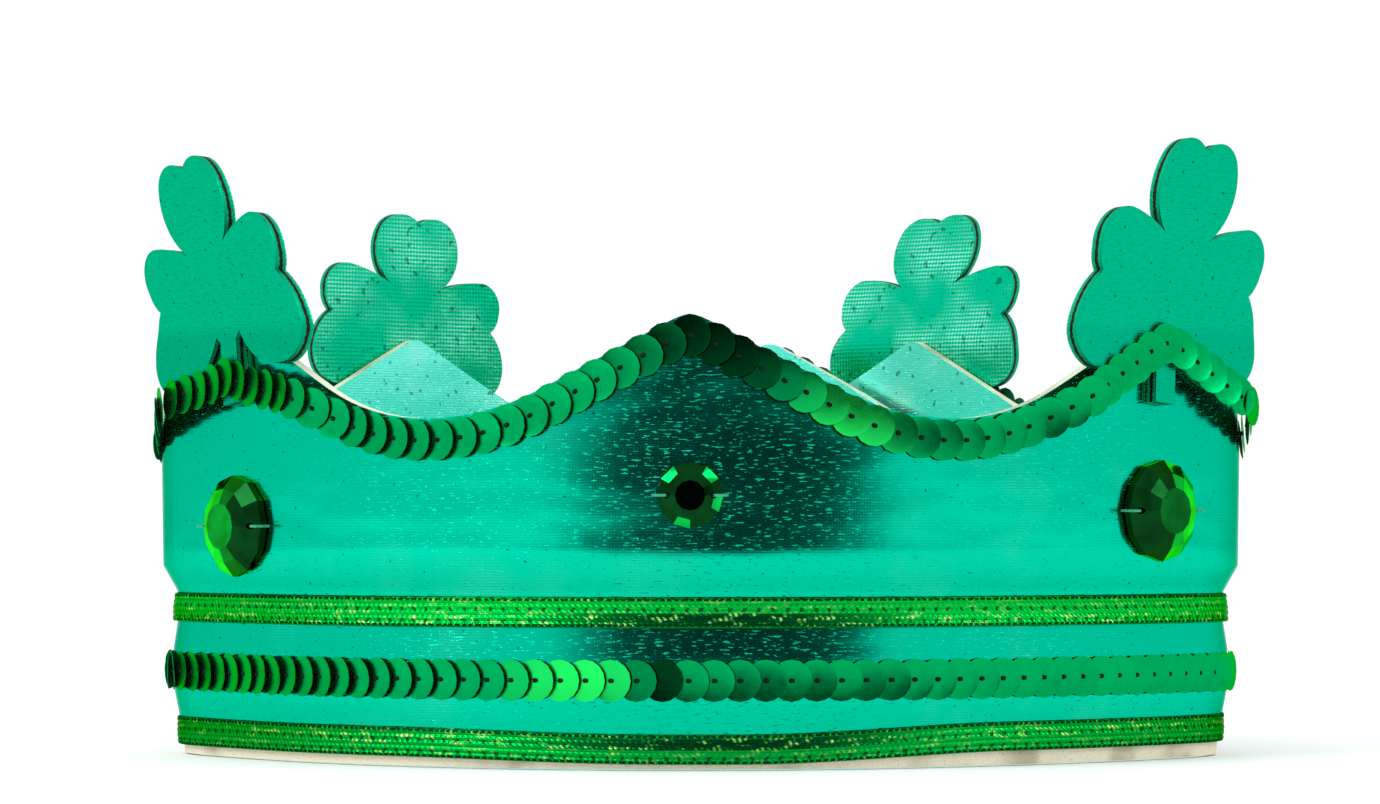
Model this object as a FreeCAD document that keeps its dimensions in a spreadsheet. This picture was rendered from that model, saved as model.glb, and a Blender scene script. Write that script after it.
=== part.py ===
import FreeCAD, Part
import bisect
import math
import os

import Sketcher

# A dressing-up crown: one long strip of foam faced with foil cloth on both sides, its top edge cut in
# waves, bent round and joined at the back, and trimmed with braid, sequins, gems and four shamrocks.
# Frame: X to the right as seen from the front, Y towards the back, Z up, base at Z = 0. The pieces are
# set out from the front centre of the plan and moved together at the end to the middle of the footprint.
# Distances round the band are measured from the front centre, positive to the right as seen from there.

Vector = FreeCAD.Vector
doc = FreeCAD.newDocument("crown")

# Driving dimensions, in millimetres and degrees.
DIMENSIONS = {
    # Plan of the band: arcs that follow each other from the front centre.
    "front_radius": 108,
    "left_front_turn": 50,
    "left_side_radius": 300,
    "left_side_turn": 6,
    "left_corner_turn": 76,
    "left_back_turn": 6,
    "right_front_turn": 27,
    "right_side_radius": 180,
    "right_side_turn": 22,
    "right_corner_turn": 81,
    "right_back_turn": 6,
    "corner_radius": 27,
    "rear_radius": 70,
    "lap_length": 18,
    # Layers of the strip.
    "foil_thickness": 0.25,
    "foam_thickness": 2.0,
    "foam_show": 1.0,
    # Wavy top edge.
    "valley_height": 66.5,
    "peak_height": 86,
    "peak_tip_radius": 5,
    "hollow_radius": 51.2,
    "edge_spacing": 5,
    "front_peak_pitch": 102.4,
    "rear_left_peak": 217,
    "back_peak_inset": 31.7,
    "rear_right_peak_inset": 1.5,
    # How far the wall stands outside its plan at several heights.
    "foot_inset": 3.0,
    "hem_inset": 2.2,
    "lower_inset": 1.1,
    "middle_inset": 0.9,
    "braid_inset": 1.7,
    "belly_bottom": 38,
    "belly_swell": 1.2,
    "belly_top": 60,
    "gem_swell": 1.5,
    "edge_swell": 0.4,
    "tape_margin": 0.4,
    # Braid tapes.
    "braid_width": 5.6,
    "braid_thickness": 0.9,
    "hem_braid_middle": 3.7,
    "upper_braid_middle": 29.6,
    "glue_line": 0.1,
    # Strung sequins.
    "sequin_diameter": 8,
    "sequin_thickness": 0.16,
    "sequin_pitch": 4.9,
    "sequin_tilt": 8.5,
    "sequin_sides": 10,
    "band_sequin_height": 16.8,
    "crest_drop": 4.2,
    "crest_tip_radius": 7,
    "left_crest_dip": 6.5,
    "crest_dip_reach": 26,
    # Sewn gems.
    "large_gem_diameter": 20,
    "small_gem_diameter": 12.5,
    "gem_sides": 12,
    "gem_girdle": 1.4,
    "large_gem_height": 4.6,
    "small_gem_height": 3.4,
    "gem_hole_diameter": 1.3,
    "gem_hole_inset": 1.8,
    "gem_seat_gap": 0.12,
    "front_gem_height": 51.8,
    "left_gem_height": 46,
    "right_gem_height": 49,
    "rear_gem_height": 48,
    "lap_gem_inset": 12,
    "gem_shoulder_share": 0.74,
    "gem_shoulder_rise": 0.66,
    "gem_table_share": 0.46,
    "stitch_thickness": 0.5,
    "stitch_rise": 0.5,
    # Shamrocks, cut from the same faced foam.
    "shamrock_width": 53,
    "right_shamrock_height": 46,
    "left_shamrock_height": 43,
    "rear_left_shamrock_height": 38,
    "rear_right_shamrock_height": 38.6,
    "shamrock_foot_drop": 11,
    "stem_width": 5.6,
    "stem_tab": 5,
    "shamrock_bend_radius": 14,
    "shamrock_bend_start": 8,
    "lobe_reach": 21,
    "right_shamrock_lean": 15,
    "left_shamrock_lean": 16,
    "rear_left_shamrock_lean": 2,
    "rear_right_shamrock_lean": 19,
    "right_shamrock_twist": -5,
    "left_shamrock_twist": 9,
    "rear_left_shamrock_twist": 5,
    "rear_right_shamrock_twist": -3,
    # Closing patches between the lapped ends.
    "patch_thickness": 1.2,
    "patch_margin": 2,
    "patch_bottom": 9,
    "patch_height": 48,
    "lap_clearance": 0.15,
}

sheet = doc.addObject("Spreadsheet::Sheet", "Sizes")
for row, (alias, value) in enumerate(DIMENSIONS.items(), start=1):
    sheet.set("A%d" % row, alias.replace("_", " "))
    sheet.set("B%d" % row, str(value))
    sheet.setAlias("B%d" % row, alias)
doc.recompute()


def size(alias):
    """One driving dimension as the sheet gives it."""
    return float(sheet.get(alias))


def bind(thing, prop, expression):
    thing.setExpression(prop, expression)


# Lengths that follow from the sheet
strip_thickness = size("foam_thickness") + 2 * size("foil_thickness")
lap_offset = strip_thickness + 2 * size("patch_thickness") + 3 * size("lap_clearance")


# The plan of the band

def arc_step(x, y, heading, radius, turn):
    """End of an arc of this radius that turns left by turn degrees, with the new heading and its length."""
    start = math.radians(heading)
    end = math.radians(heading + turn)
    return (
        x + radius * (math.sin(end) - math.sin(start)),
        y + radius * (math.cos(start) - math.cos(end)),
        heading + turn,
        radius * (end - start),
    )


def unit_chord(heading, turn):
    """Chord of an arc of radius 1."""
    x, y, _, _ = arc_step(0, 0, heading, 1, turn)
    return x, y


def chain_end(arcs):
    x = y = heading = 0.0
    for radius, turn in arcs:
        x, y, heading, _ = arc_step(x, y, heading, radius, turn)
    return x, y, heading


def solve_back_radii(left, right):
    """Radii of the two long back arcs that bring both ends of the strip together at the lap."""
    left_x, left_y, left_heading = chain_end(left)
    right_x, right_y, right_heading = chain_end(right)
    left_turn = size("left_back_turn")
    right_turn = size("right_back_turn")
    lap_heading = right_heading + right_turn
    rear_turn = 360 - lap_heading - left_heading - left_turn
    left_chord = unit_chord(left_heading, left_turn)
    right_chord = unit_chord(right_heading, right_turn)
    rear_chord = unit_chord(left_heading + left_turn, rear_turn)
    rear = size("rear_radius")
    outward = (math.sin(math.radians(lap_heading)), -math.cos(math.radians(lap_heading)))
    gap_x = right_x + left_x + rear * rear_chord[0] - lap_offset * outward[0]
    gap_y = right_y - left_y - rear * rear_chord[1] - lap_offset * outward[1]
    determinant = left_chord[0] * right_chord[1] + right_chord[0] * left_chord[1]
    left_radius = (-gap_x * right_chord[1] + right_chord[0] * gap_y) / determinant
    right_radius = (-left_chord[0] * gap_y - left_chord[1] * gap_x) / determinant
    return left_radius, right_radius, rear_turn


left_arcs = [
    (size("front_radius"), size("left_front_turn")),
    (size("left_side_radius"), size("left_side_turn")),
    (size("corner_radius"), size("left_corner_turn")),
]
right_arcs = [
    (size("front_radius"), size("right_front_turn")),
    (size("right_side_radius"), size("right_side_turn")),
    (size("corner_radius"), size("right_corner_turn")),
]
left_back_radius, right_back_radius, rear_turn = solve_back_radii(left_arcs, right_arcs)
outer_lap_radius = size("rear_radius") + lap_offset
lap_turn = math.degrees(size("lap_length") / outer_lap_radius)
left_arcs += [(left_back_radius, size("left_back_turn")), (size("rear_radius"), rear_turn)]
right_arcs += [(right_back_radius, size("right_back_turn")), (outer_lap_radius, lap_turn)]

left_length = sum(radius * math.radians(turn) for radius, turn in left_arcs)
right_length = sum(radius * math.radians(turn) for radius, turn in right_arcs)
inner_lap_length = math.radians(lap_turn) * size("rear_radius")


def plan(along):
    """Point of the plan, direction of growing distance and outward normal at a distance from the front."""
    side = 1 if along >= 0 else -1
    left = abs(along)
    x = y = heading = 0.0
    arcs = right_arcs if side > 0 else left_arcs
    for index, (radius, turn) in enumerate(arcs):
        length = radius * math.radians(turn)
        if left <= length or index == len(arcs) - 1:
            x, y, heading, _ = arc_step(x, y, heading, radius, math.degrees(left / radius))
            break
        x, y, heading, _ = arc_step(x, y, heading, radius, turn)
        left -= length
    angle = math.radians(heading)
    direction = Vector(math.cos(angle), side * math.sin(angle), 0)
    return Vector(side * x, y, 0), direction, Vector(direction.y, -direction.x, 0)


# The wavy edge

left_peak = -size("front_peak_pitch")
right_peak = size("front_peak_pitch")
rear_left_peak = -size("rear_left_peak")
back_peak = -left_length + size("back_peak_inset")
rear_right_peak = right_length - size("lap_length") - size("rear_right_peak_inset")
peaks = sorted([back_peak, rear_left_peak, left_peak, 0.0, right_peak, rear_right_peak])


half_pitch = size("front_peak_pitch") / 2
wave_fall = size("peak_height") - size("valley_height")


def flank_slope(tip_radius):
    """Slope of the straight flank that joins the rounded tip to the hollow over the whole fall."""
    rounds = tip_radius + size("hollow_radius")
    low, high = 0.0, min(math.asin(min(half_pitch / rounds, 1.0)), 1.5)
    for _ in range(40):
        slope = (low + high) / 2
        reached = rounds * (1 - math.cos(slope)) + math.tan(slope) * (half_pitch - rounds * math.sin(slope))
        low, high = (slope, high) if reached < wave_fall else (low, slope)
    return slope


flank_slopes = {radius: flank_slope(radius) for radius in (size("peak_tip_radius"), size("crest_tip_radius"))}


def wave_drop(distance, tip_radius):
    """How far the edge lies below its peak at a distance from it: rounded tip, straight flank, hollow."""
    slope = flank_slopes[tip_radius]
    hollow = size("hollow_radius")
    tip_run = tip_radius * math.sin(slope)
    tip_fall = tip_radius * (1 - math.cos(slope))
    if distance <= tip_run:
        return tip_radius - math.sqrt(tip_radius ** 2 - distance ** 2)
    if distance <= half_pitch - hollow * math.sin(slope):
        return tip_fall + (distance - tip_run) * math.tan(slope)
    rest = max(half_pitch - distance, 0.0)
    return wave_fall - (hollow - math.sqrt(hollow ** 2 - rest ** 2))


def nearest_peak(along):
    return min(peaks, key=lambda peak: abs(along - peak))


def edge_height(along):
    """Height of the cut top edge."""
    drop = wave_drop(abs(along - nearest_peak(along)), size("peak_tip_radius"))
    return size("peak_height") - drop


def crest_height(along):
    """Height of the middle of the sequin string that follows the edge."""
    drop = wave_drop(abs(along - nearest_peak(along)), size("crest_tip_radius"))
    height = size("peak_height") - size("crest_drop") - drop
    off = abs(along - left_peak)
    reach = size("crest_dip_reach")
    if off < reach:
        height -= size("left_crest_dip") * 0.5 * (1 + math.cos(math.pi * off / reach))
    return height


# The upright section of the wall

hem_top = size("hem_braid_middle") + size("braid_width") / 2 + size("tape_margin")
tape_bottom = size("upper_braid_middle") - size("braid_width") / 2 - size("tape_margin")
tape_top = size("upper_braid_middle") + size("braid_width") / 2 + size("tape_margin")
sequin_bottom = size("band_sequin_height") - size("sequin_diameter") / 2 - size("tape_margin")
sequin_top = size("band_sequin_height") + size("sequin_diameter") / 2 + size("tape_margin")
swell_knots = [
    (0.0, -size("foot_inset")),
    (hem_top, -size("hem_inset")),
    (sequin_bottom, -size("lower_inset")),
    (sequin_top, -size("middle_inset")),
    (tape_bottom, -size("braid_inset")),
    (tape_top, -size("braid_inset")),
    (size("belly_bottom"), size("belly_swell")),
    (size("belly_top"), size("gem_swell")),
    (size("peak_height"), size("edge_swell")),
]


def swell(height):
    """How far the outer face stands outside the plan: straight between the knots, like creased foam."""
    heights = [knot[0] for knot in swell_knots]
    place = min(max(bisect.bisect_right(heights, height) - 1, 0), len(swell_knots) - 2)
    low, high = swell_knots[place], swell_knots[place + 1]
    return low[1] + (high[1] - low[1]) * (height - low[0]) / (high[0] - low[0])


def wall_point(along, height, proud):
    """Point that stands proud of the outer foil by this much; a negative value lies inside the wall."""
    point, _, outward = plan(along)
    return point + outward * (swell(height) + proud) + Vector(0, 0, height)


def seat(along, height, proud):
    """Placement on the wall: local X along the band, local Y up the wall, local Z out of it."""
    _, direction, outward = plan(along)
    step = size("sequin_diameter") / 4
    rise = Vector(0, 0, 2 * step) + outward * (swell(height + step) - swell(height - step))
    up = rise.normalize()
    return FreeCAD.Placement(
        wall_point(along, height, proud), FreeCAD.Rotation(direction, up, direction.cross(up), "XYZ")
    )


# Solids that follow the wall

joints = [0.0]
for radius, turn in right_arcs:
    joints.append(joints[-1] + radius * math.radians(turn))
for radius, turn in left_arcs:
    joints.insert(0, joints[0] - radius * math.radians(turn))


def wave_marks(start, end):
    """Distances at which the cut edge is set out: evenly, and more closely round the tip of each peak."""
    count = max(int(math.ceil((end - start) / size("edge_spacing"))), 2)
    tip = size("peak_tip_radius")
    fine_step = tip / 3
    marks = [start + (end - start) * step / count for step in range(count + 1)]
    for peak in peaks:
        marks = [mark for mark in marks if abs(mark - peak) > 1.5 * tip or mark in (start, end)]
        tips = [peak + fine_step * step for step in range(-3, 4)]
        marks += [mark for mark in tips if start + fine_step < mark < end - fine_step]
    return sorted(marks)


def contour(start, end, level, proud):
    """Edge that follows the wall between two joints of the plan, at one height or along the wave."""
    if callable(level):
        marks = wave_marks(start, end)
        curve = Part.BSplineCurve()
        points = [wall_point(mark, level(mark), proud) for mark in marks]
        curve.interpolate(Points=points, Parameters=[mark - start for mark in marks])
        return curve.toShape()
    inside = 1e-7
    ends = (start + inside, (start + end) / 2, end - inside)
    return Part.Arc(*[wall_point(mark, level, proud) for mark in ends]).toShape()


def right_way_out(solid):
    """The same solid with its faces turned outwards."""
    if solid.Volume < 0:
        solid.reverse()
    return solid


def level_face(rim, other):
    """Flat face between two arcs at one height."""
    links = [
        Part.makeLine(rim.valueAt(rim.FirstParameter), other.valueAt(other.FirstParameter)),
        Part.makeLine(rim.valueAt(rim.LastParameter), other.valueAt(other.LastParameter)),
    ]
    return Part.Face(Part.Wire(Part.__sortEdges__([rim, other] + links)))


def strip_solid(start, end, levels, outer, inner):
    """Closed strip between two offsets of the wall, through a list of heights from bottom to top."""
    sliver = 0.01
    stops = [start] + [joint for joint in joints if start + sliver < joint < end - sliver] + [end]
    faces = []
    for first, last in zip(stops, stops[1:]):
        edges = {
            proud: [contour(first, last, level, proud) for level in levels] for proud in (outer, inner)
        }
        for column in edges.values():
            faces += [Part.makeRuledSurface(low, high) for low, high in zip(column, column[1:])]
        for number, level in ((0, levels[0]), (-1, levels[-1])):
            rims = (edges[outer][number], edges[inner][number])
            faces.append(Part.makeRuledSurface(*rims) if callable(level) else level_face(*rims))
    for mark in (start, end):
        heights = [level(mark) if callable(level) else level for level in levels]
        rim = [wall_point(mark, height, outer) for height in heights]
        rim += [wall_point(mark, height, inner) for height in reversed(heights)]
        faces.append(Part.Face(Part.makePolygon(rim + rim[:1])))
    shell = Part.makeShell(faces)
    shell.sewShape()
    return right_way_out(Part.Solid(shell))


def feature(label, shape):
    thing = doc.addObject("Part::Feature", label)
    thing.Shape = shape
    thing.Label = label
    return thing


sub_parts = []

outer_skin = 0.0
foam_outer = -size("foil_thickness")
foam_inner = foam_outer - size("foam_thickness")
inner_skin = -strip_thickness
creases = [knot[0] for knot in swell_knots[1:-1]]
for label, foot, outer, inner in (
    ("band_outer_foil", size("foam_show"), outer_skin, foam_outer),
    ("band_foam", 0.0, foam_outer, foam_inner),
    ("band_inner_foil", size("foam_show"), foam_inner, inner_skin),
):
    wall_levels = [foot] + creases + [edge_height]
    layer = strip_solid(-left_length, right_length, wall_levels, outer, inner)
    sub_parts.append(feature(label, layer))

# Trims run from the outer end of the lap round to where that end covers the inner one.
trim_end = right_length
trim_start = -left_length + inner_lap_length + size("lap_clearance") + size("foil_thickness")

for label, middle in (("hem_braid", size("hem_braid_middle")), ("upper_braid", size("upper_braid_middle"))):
    levels = [middle - size("braid_width") / 2, middle + size("braid_width") / 2]
    back = size("glue_line")
    tape = strip_solid(trim_start, trim_end, levels, back + size("braid_thickness"), back)
    sub_parts.append(feature(label, tape))


# Closing patches between the lapped ends

def patch(label, start, end, proud):
    """Flat patch fixed to one of the two lapped faces."""
    margin = size("patch_margin")
    bottom = size("patch_bottom")
    top = bottom + size("patch_height")
    levels = [bottom] + [knot[0] for knot in swell_knots if bottom < knot[0] < top] + [top]
    return feature(
        label, strip_solid(start + margin, end - margin, levels, proud + size("patch_thickness"), proud)
    )


inner_end = (-left_length, -left_length + inner_lap_length)
outer_end = (right_length - size("lap_length"), right_length)
hook_back = -strip_thickness - size("lap_clearance") - size("patch_thickness")
sub_parts.append(patch("loop_patch", *inner_end, size("lap_clearance")))
sub_parts.append(patch("hook_patch", *outer_end, hook_back))


# Shamrocks

SHAMROCKS = {
    "shamrock_left": (left_peak, "left_shamrock"),
    "shamrock_right": (right_peak, "right_shamrock"),
    "shamrock_rear_left": (rear_left_peak, "rear_left_shamrock"),
    "shamrock_rear_right": (rear_right_peak, "rear_right_shamrock"),
}


# The leaves are drawn on a template of this width and height and stretched to each shamrock's own.
TEMPLATE_WIDTH = 53
TEMPLATE_HEIGHT = 45.3


def shamrock_outline(width, height):
    """Closed outline of three heart-shaped leaves over a stem: lobe bottoms at 0, tips at height."""
    across = width / TEMPLATE_WIDTH
    upward = height / TEMPLATE_HEIGHT
    half_stem = size("stem_width") / 2
    edges = []
    for side in (1, -1):

        def at(x, y):
            return Vector(side * x * across, y * upward, 0)

        stem_top = Vector(side * half_stem, 8.0 * upward, 0)
        stem_foot = Vector(side * half_stem, -size("stem_tab"), 0)
        fork = stem_top + at(1.3, 1.4)
        edges += [
            Part.Arc(at(0, 43.4), at(4.8, 45.3), at(9.6, 42.6)),
            Part.Arc(at(9.6, 42.6), at(11.2, 38.0), at(6.6, 27.0)),
            Part.Arc(at(6.6, 27.0), at(12.2, 29.4), at(17.6, 30.6)),
            Part.Arc(at(17.6, 30.6), at(23.0, 28.4), at(24.2, 22.6)),
            Part.Arc(at(24.2, 22.6), at(23.6, 20.2), at(22.2, 18.2)),
            Part.Arc(at(22.2, 18.2), at(25.4, 13.6), at(26.5, 8.0)),
            Part.Arc(at(26.5, 8.0), at(24.0, 1.8), at(18.2, 0.0)),
            Part.Arc(at(18.2, 0.0), at(9.8, 2.6), fork),
            Part.LineSegment(fork, stem_top),
            Part.LineSegment(stem_top, stem_foot),
        ]
    half_foot = Vector(half_stem, -size("stem_tab"), 0)
    edges.append(Part.LineSegment(half_foot, half_foot - Vector(2 * half_stem, 0, 0)))
    return edges


def leaning_section(back, front, lean, length):
    """Side view of one layer of a shamrock: upright at the stem, then bent to lean outwards."""
    bend = size("shamrock_bend_radius")
    start = size("shamrock_bend_start")
    foot = -size("stem_tab") - size("stem_width")
    angle = math.radians(lean)

    def bend_end(depth):
        return Vector(start + (bend - depth) * math.sin(angle), bend - (bend - depth) * math.cos(angle), 0)

    def bend_middle(depth):
        half = angle / 2
        return Vector(start + (bend - depth) * math.sin(half), bend - (bend - depth) * math.cos(half), 0)

    reach = Vector(length * math.cos(angle), length * math.sin(angle), 0)
    points = {depth: (Vector(foot, depth, 0), Vector(start, depth, 0)) for depth in (back, front)}
    return [
        Part.LineSegment(*points[back]),
        Part.Arc(points[back][1], bend_middle(back), bend_end(back)),
        Part.LineSegment(bend_end(back), bend_end(back) + reach),
        Part.LineSegment(bend_end(back) + reach, bend_end(front) + reach),
        Part.LineSegment(bend_end(front) + reach, bend_end(front)),
        Part.Arc(bend_end(front), bend_middle(front), points[front][1]),
        Part.LineSegment(points[front][1], points[front][0]),
        Part.LineSegment(points[front][0], points[back][0]),
    ]


def sketch(name, edges, placement):
    drawing = doc.addObject("Sketcher::SketchObject", name)
    for edge in edges:
        drawing.addGeometry(edge, False)
    drawing.Placement = placement
    return drawing


def extrusion(name, profile, length, symmetric):
    solid = doc.addObject("Part::Extrusion", name)
    solid.Base = profile
    solid.DirMode = "Normal"
    solid.Solid = True
    solid.Symmetric = symmetric
    bind(solid, "LengthFwd", length)
    return solid


shamrock_layers = (
    ("_back", 0.0, size("foil_thickness")),
    ("", size("foil_thickness"), size("foil_thickness") + size("foam_thickness")),
    ("_face", size("foil_thickness") + size("foam_thickness"), strip_thickness),
)
side_view = FreeCAD.Rotation(Vector(0, 1, 0), Vector(0, 0, 1), Vector(1, 0, 0), "XYZ")
shamrock_seats = []

for label, (peak, prefix) in SHAMROCKS.items():
    height = size(prefix + "_height")
    foot = size("peak_height") - size("shamrock_foot_drop")
    place = seat(peak, foot, size("glue_line"))
    shamrock_seats.append((peak, place))
    twist = FreeCAD.Rotation(Vector(0, 0, 1), size(prefix + "_twist"))
    outline = shamrock_outline(size("shamrock_width"), height)
    drawing = sketch(label + "_outline", outline, FreeCAD.Placement(Vector(0, 0, -1), twist))
    for suffix, back, front in shamrock_layers:
        blank = extrusion(label + suffix + "_blank", drawing, "Sizes.shamrock_width", False)
        section = leaning_section(back, front, size(prefix + "_lean"), 1.5 * height)
        side = sketch(label + suffix + "_side", section, FreeCAD.Placement(Vector(0, 0, 0), side_view))
        sheet_solid = extrusion(label + suffix + "_sheet", side, "1.5 * Sizes.shamrock_width", True)
        layer = doc.addObject("Part::MultiCommon", label + suffix)
        layer.Shapes = [blank, sheet_solid]
        layer.Label = label + suffix
        layer.Placement = place
        sub_parts.append(layer)


# Sequin strings

blank = doc.addObject("Part::Prism", "sequin_blank")
bind(blank, "Polygon", "Sizes.sequin_sides")
bind(blank, "Circumradius", "Sizes.sequin_diameter / 2")
bind(blank, "Height", "Sizes.sequin_thickness")
doc.recompute()


def shamrock_cover(along, height):
    """How much further out the crest string runs where it crosses a shamrock's stem and lower lobes."""
    reach = size("lobe_reach")
    ease_length = 1.5 * size("sequin_diameter")
    cover = 0.0
    for peak, place in shamrock_seats:
        off = abs(along - peak)
        if off > reach + ease_length:
            continue
        outward = place.Rotation.multVec(Vector(0, 0, 1))
        face = place.Base + outward * (strip_thickness + size("glue_line"))
        gap = (face - wall_point(along, height, 0)).dot(outward)
        ease = min(max((reach + ease_length - off) / ease_length, 0.0), 1.0)
        cover = max(cover, gap * ease * ease * (3 - 2 * ease))
    return cover


def sequin_places(start, end, height_at, cover_at):
    """Placements of the sequins on one string, one pitch apart along its path."""
    tilt = math.radians(size("sequin_tilt"))
    radius = size("sequin_diameter") / 2
    stand = radius * math.sin(tilt) + size("sequin_thickness") + size("glue_line")

    def string_point(along):
        height = height_at(along)
        return wall_point(along, height, stand + cover_at(along, height))

    places = []
    step = size("sequin_pitch") / 25
    along = start
    travelled = size("sequin_pitch")
    before = string_point(along)
    while along < end:
        if travelled >= size("sequin_pitch"):
            travelled -= size("sequin_pitch")
            front = string_point(along + radius)
            back = string_point(along - radius)
            ahead = (front - back).normalize()
            outward = seat(along, height_at(along), 0).Rotation.multVec(Vector(0, 0, 1))
            outward = (outward - ahead * outward.dot(ahead)).normalize()
            lift = max(((front + back) / 2 - before).dot(outward), 0.0)
            centre = before + outward * lift
            axis = outward * math.cos(tilt) - ahead * math.sin(tilt)
            forward = ahead * math.cos(tilt) + outward * math.sin(tilt)
            turn = FreeCAD.Rotation(forward, axis.cross(forward), axis, "XYZ")
            places.append(FreeCAD.Placement(centre - axis * size("sequin_thickness") / 2, turn))
        along += step
        after = string_point(along)
        travelled += (after - before).Length
        before = after
    return places


def sequin_string(label, height_at, cover_at):
    radius = size("sequin_diameter") / 2
    discs = []
    for place in sequin_places(trim_start + radius, trim_end - radius, height_at, cover_at):
        disc = blank.Shape.copy()
        disc.Placement = place
        discs.append(disc)
    return feature(label, Part.makeCompound(discs))


sub_parts.append(sequin_string("crest_sequins", crest_height, shamrock_cover))
sub_parts.append(
    sequin_string("band_sequins", lambda along: size("band_sequin_height"), lambda along, height: 0.0)
)


# Gems and the stitches that hold them

GEMS = {
    "front_gem": (0.0, "front_gem_height", "small"),
    "left_gem": (left_peak, "left_gem_height", "large"),
    "right_gem": (right_peak, "right_gem_height", "large"),
    "rear_left_gem": (rear_left_peak, "rear_gem_height", "large"),
    "rear_right_gem": (rear_right_peak - size("lap_gem_inset"), "rear_gem_height", "large"),
    "back_gem": (back_peak, "rear_gem_height", "small"),
}


def faceted_gem(label, kind):
    """Flat-backed faceted gem: girdle, two rings of facets, table, and two sewing holes."""
    diameter = "Sizes.%s_gem_diameter" % kind
    tall = "Sizes.%s_gem_height" % kind
    rings = (
        (diameter + " / 2", "0"),
        (diameter + " / 2", "Sizes.gem_girdle"),
        (
            "Sizes.gem_shoulder_share * %s / 2" % diameter,
            "Sizes.gem_girdle + Sizes.gem_shoulder_rise * (%s - Sizes.gem_girdle)" % tall,
        ),
        ("Sizes.gem_table_share * %s / 2" % diameter, tall),
    )
    sections = []
    for number, (radius, level) in enumerate(rings):
        ring = doc.addObject("Part::RegularPolygon", "%s_ring_%d" % (label, number))
        bind(ring, "Polygon", "Sizes.gem_sides")
        bind(ring, "Circumradius", radius)
        bind(ring, ".Placement.Base.z", level)
        sections.append(ring)
    stone = doc.addObject("Part::Loft", label + "_stone")
    stone.Sections = sections
    stone.Solid = True
    stone.Ruled = True
    holes = []
    for name, sign in (("_left_hole", "-"), ("_right_hole", "")):
        hole = doc.addObject("Part::Cylinder", label + name)
        bind(hole, "Radius", "Sizes.gem_hole_diameter / 2")
        bind(hole, "Height", "2 * " + tall)
        bind(hole, ".Placement.Base.x", "%s(%s / 2 - Sizes.gem_hole_inset)" % (sign, diameter))
        bind(hole, ".Placement.Base.z", "-Sizes.gem_girdle / 2")
        holes.append(hole)
    drills = doc.addObject("Part::MultiFuse", label + "_holes")
    drills.Shapes = holes
    gem = doc.addObject("Part::Cut", label)
    gem.Base = stone
    gem.Tool = drills
    gem.Label = label
    return gem


def stitch_pair(kind):
    """Two loops of thread, each up through a sewing hole, over the rim and down outside it."""
    radius = size(kind + "_gem_diameter") / 2
    thread = size("stitch_thickness")
    hole = radius - size("gem_hole_inset")
    outside = radius + 1.5 * thread
    middle = (hole + outside) / 2
    bend = (outside - hole) / 2
    crown = size("gem_girdle") + size("stitch_rise")

    def arch(reach):
        turns = [math.radians(angle) for angle in (0, 45, 90, 135, 180)]
        curve = [Vector(middle + reach * math.cos(turn), 0, crown + reach * math.sin(turn)) for turn in turns]
        return [Vector(middle + reach, 0, 0)] + curve + [Vector(middle - reach, 0, 0)]

    rim = arch(bend + thread / 2) + arch(bend - thread / 2)[::-1]
    loops = []
    for side in (-1, 1):
        corners = [Vector(side * point.x, -thread / 2, point.z) for point in rim]
        face = Part.Face(Part.makePolygon(corners + corners[:1]))
        loops.append(right_way_out(face.extrude(Vector(0, thread, 0))))
    return loops


stitches = []
for label, (along, height_alias, kind) in GEMS.items():
    gem = faceted_gem(label, kind)
    gem.Placement = seat(along, size(height_alias), size("gem_seat_gap"))
    sub_parts.append(gem)
    for loop in stitch_pair(kind):
        loop.Placement = gem.Placement.multiply(loop.Placement)
        stitches.append(loop)
sub_parts.append(feature("gem_stitches", Part.makeCompound(stitches)))

doc.recompute()

# The origin goes to the middle of the footprint.
whole = Part.makeCompound([thing.Shape for thing in sub_parts]).optimalBoundingBox(False, False)
to_footprint = FreeCAD.Placement(Vector(-whole.Center.x, -whole.Center.y, 0), FreeCAD.Rotation())
for thing in sub_parts:
    thing.Placement = to_footprint.multiply(thing.Placement)
doc.recompute()

# Nothing is written unless every object is sound.
for thing in doc.Objects:
    bad = [state for state in thing.State if state in ("Invalid", "Error")]
    if bad:
        raise RuntimeError("%s: %s" % (thing.Name, bad))
for thing in sub_parts:
    if thing.Shape.isNull() or not thing.Shape.isValid() or not thing.Shape.Solids:
        raise RuntimeError("%s has no valid solid" % thing.Label)
    if any(solid.Volume <= 0 for solid in thing.Shape.Solids):
        raise RuntimeError("%s is inside out" % thing.Label)

os.makedirs("parts", exist_ok=True)
for thing in sub_parts:
    thing.Shape.exportStep(os.path.join("parts", thing.Label + ".step"))
    print("%-26s %4d solids %10.1f mm3" % (thing.Label, len(thing.Shape.Solids), thing.Shape.Volume))
print("length of the strip %.1f" % (left_length + right_length))
rim_middle = to_footprint.multVec(wall_point(0.0, 0.0, -strip_thickness / 2))
print("middle of the front rim %.3f %.3f %.3f" % tuple(rim_middle))
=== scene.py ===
import logging
import math
import random
from collections.abc import Callable
from dataclasses import dataclass
from enum import Enum

import bpy
import numpy as np
from mathutils import Matrix, Vector
from mathutils.bvhtree import BVHTree


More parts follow.
